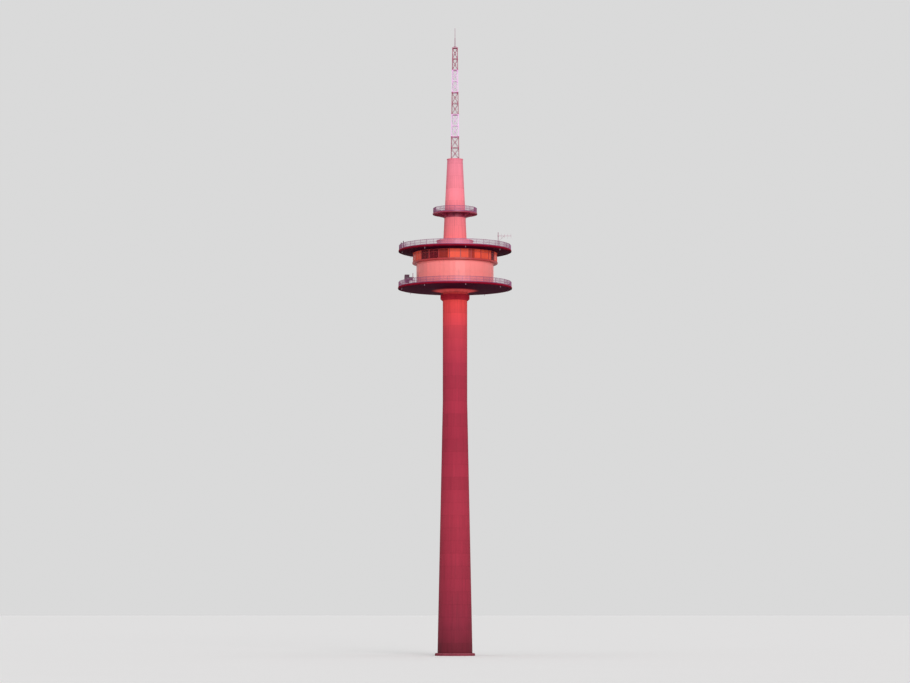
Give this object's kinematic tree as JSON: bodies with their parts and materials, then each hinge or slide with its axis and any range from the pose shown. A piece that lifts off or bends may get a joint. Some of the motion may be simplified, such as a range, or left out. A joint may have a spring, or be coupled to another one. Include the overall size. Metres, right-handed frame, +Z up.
{
  "type": "concrete radio tower, 1:10 scale model",
  "caption": "Slender concrete radio tower with a tapering round shaft, round cabin between railed platforms, ring walkway and a banded lattice mast on top.",
  "frame": {"origin": "centre of the foundation's underside", "axes": "+Z up along the tower's axis, -Y the side seen in the picture, +X to the right of it"},
  "size_m": [2.27, 2.27, 12.508],
  "materials": {
    "shaft_concrete": "board-marked concrete, weathered",
    "platform_concrete": "dark weathered concrete",
    "cabin_cladding": "satin painted panels",
    "window_frame": "satin painted",
    "window_pane": "sun-protection glass",
    "galvanised_steel": "galvanised",
    "ring_steel": "satin painted",
    "mast_red": "satin painted",
    "mast_white": "satin painted",
    "door_paint": "satin painted",
    "antenna_plastic": "matte"
  },
  "bodies": {
    "root": {"antenna_pole": "galvanised_steel", "base_wall_beside_door": "shaft_concrete", "base_wall_front": "shaft_concrete", "base_wall_left": "shaft_concrete", "base_wall_over_door": "shaft_concrete", "base_wall_right": "shaft_concrete", "cabin_door": "door_paint", "cabin_floor": "platform_concrete", "cabin_panels_back": "cabin_cladding", "cabin_panels_front": "cabin_cladding", "cabin_panels_left": "cabin_cladding", "cabin_panels_right": "cabin_cladding", "collar_ring": "platform_concrete", "door_frame": "door_paint", "door_leaf": "door_paint", "drum_antenna": "antenna_plastic", "drum_door": "door_paint", "foundation_slab": "platform_concrete", "lightning_rod": "galvanised_steel", "lower_platform": "platform_concrete", "lower_railing": "galvanised_steel", "mast_section_1": "mast_red", "mast_section_2": "mast_white", "mast_section_3": "mast_red", "mast_section_4": "mast_white", "mast_section_5": "mast_red", "panel_antennas": "antenna_plastic", "ring_platform": "ring_steel", "ring_railing": "galvanised_steel", "roof_drum": "cabin_cladding", "shaft_wall_back": "shaft_concrete", "shaft_wall_front": "shaft_concrete", "shaft_wall_left": "shaft_concrete", "shaft_wall_right": "shaft_concrete", "side_arm_antenna": "galvanised_steel", "taper_wall_back": "shaft_concrete", "taper_wall_front": "shaft_concrete", "taper_wall_left": "shaft_concrete", "taper_wall_right": "shaft_concrete", "tip_wall": "shaft_concrete", "upper_platform": "platform_concrete", "upper_railing": "galvanised_steel", "window_glass": "window_pane", "window_posts": "window_frame", "window_sill": "window_frame"}
  },
  "joints": []
}
